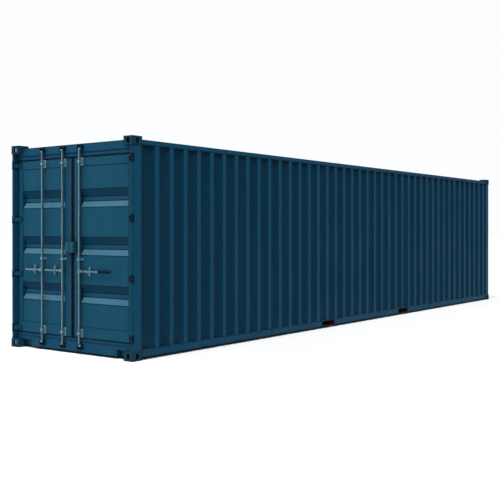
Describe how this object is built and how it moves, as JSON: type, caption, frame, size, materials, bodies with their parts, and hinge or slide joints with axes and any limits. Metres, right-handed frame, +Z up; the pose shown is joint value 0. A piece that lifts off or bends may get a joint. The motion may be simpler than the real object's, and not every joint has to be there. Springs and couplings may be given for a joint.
{
  "type": "forty-foot high-cube shipping container",
  "caption": "Steel freight container with corrugated walls, corner castings, fork pockets and double end doors that are held by turning lock rods.",
  "frame": {"origin": "middle of the base, at the underside of the bottom corner castings", "axes": "+X along the container from the door end to the blank end, +Y from the right side to the left side as seen by someone facing the doors, +Z up"},
  "size_m": [12.192, 2.438, 2.896],
  "materials": {
    "casting_paint": "painted, cast",
    "shell_paint": "satin marine paint",
    "door_paint": "satin marine paint",
    "rod_paint": "pale grey-blue galvanised and painted",
    "gasket_rubber": "matte rubber",
    "floor_ply": "varnished marine plywood",
    "underframe_paint": "bituminous underframe paint",
    "pocket_paint": "red oxide primer",
    "hinge_paint": "satin marine paint"
  },
  "bodies": {
    "container": {"bottom_corner_castings": "casting_paint", "top_corner_castings": "casting_paint", "right_door_post": "shell_paint", "left_door_post": "shell_paint", "right_front_post": "shell_paint", "left_front_post": "shell_paint", "door_header": "shell_paint", "door_sill": "shell_paint", "front_header": "shell_paint", "front_sill": "shell_paint", "right_bottom_rail": "shell_paint", "left_bottom_rail": "shell_paint", "right_top_rail": "shell_paint", "left_top_rail": "shell_paint", "right_side_wall": "shell_paint", "left_side_wall": "shell_paint", "front_wall": "shell_paint", "roof_panel": "shell_paint", "floor_boards": "floor_ply", "fork_pockets": "pocket_paint", "cross_members": "underframe_paint", "hinge_brackets": "hinge_paint", "cam_keepers": "hinge_paint"},
    "right_door": {"right_door_hinges": "hinge_paint", "right_door_frame": "door_paint", "right_door_panel": "door_paint", "right_door_gasket": "gasket_rubber", "right_rod_brackets": "rod_paint", "right_handle_retainers": "rod_paint", "right_lock_box": "door_paint"},
    "left_door": {"left_door_hinges": "hinge_paint", "left_door_frame": "door_paint", "left_door_panel": "door_paint", "left_door_gasket": "gasket_rubber", "left_rod_brackets": "rod_paint", "left_handle_retainers": "rod_paint", "left_lock_box": "door_paint"},
    "right_rod": {"right_lock_rod": "rod_paint"},
    "right_handle_arm": {"right_handle": "rod_paint"},
    "inner_left_rod": {"inner_left_lock_rod": "rod_paint"},
    "inner_left_handle_arm": {"inner_left_handle": "rod_paint"},
    "outer_left_rod": {"outer_left_lock_rod": "rod_paint"},
    "outer_left_handle_arm": {"outer_left_handle": "rod_paint"}
  },
  "joints": [
    {"name": "right_door_hinge", "type": "hinge", "parent": "container", "child": "right_door", "pos_m": [-6.082, -1.205, 1.446], "axis": [0, 0, 1], "range_deg": [0, 270]},
    {"name": "left_door_hinge", "type": "hinge", "parent": "container", "child": "left_door", "pos_m": [-6.082, 1.205, 1.446], "axis": [0, 0, -1], "range_deg": [0, 270]},
    {"name": "right_rod_turn", "type": "hinge", "parent": "right_door", "child": "right_rod", "pos_m": [-6.048, -0.17, 1.125], "axis": [0, 0, 1], "range_deg": [-110, 0]},
    {"name": "right_handle_lift", "type": "hinge", "parent": "right_rod", "child": "right_handle_arm", "pos_m": [-6.048, -0.212, 1.125], "axis": [-1, 0, 0], "range_deg": [0, 25]},
    {"name": "inner_left_rod_turn", "type": "hinge", "parent": "left_door", "child": "inner_left_rod", "pos_m": [-6.048, 0.17, 1.125], "axis": [0, 0, -1], "range_deg": [-110, 0]},
    {"name": "inner_left_handle_lift", "type": "hinge", "parent": "inner_left_rod", "child": "inner_left_handle_arm", "pos_m": [-6.048, 0.212, 1.125], "axis": [1, 0, 0], "range_deg": [0, 25]},
    {"name": "outer_left_rod_turn", "type": "hinge", "parent": "left_door", "child": "outer_left_rod", "pos_m": [-6.048, 0.596, 1.125], "axis": [0, 0, -1], "range_deg": [-110, 0]},
    {"name": "outer_left_handle_lift", "type": "hinge", "parent": "outer_left_rod", "child": "outer_left_handle_arm", "pos_m": [-6.048, 0.638, 1.125], "axis": [1, 0, 0], "range_deg": [0, 25]}
  ]
}
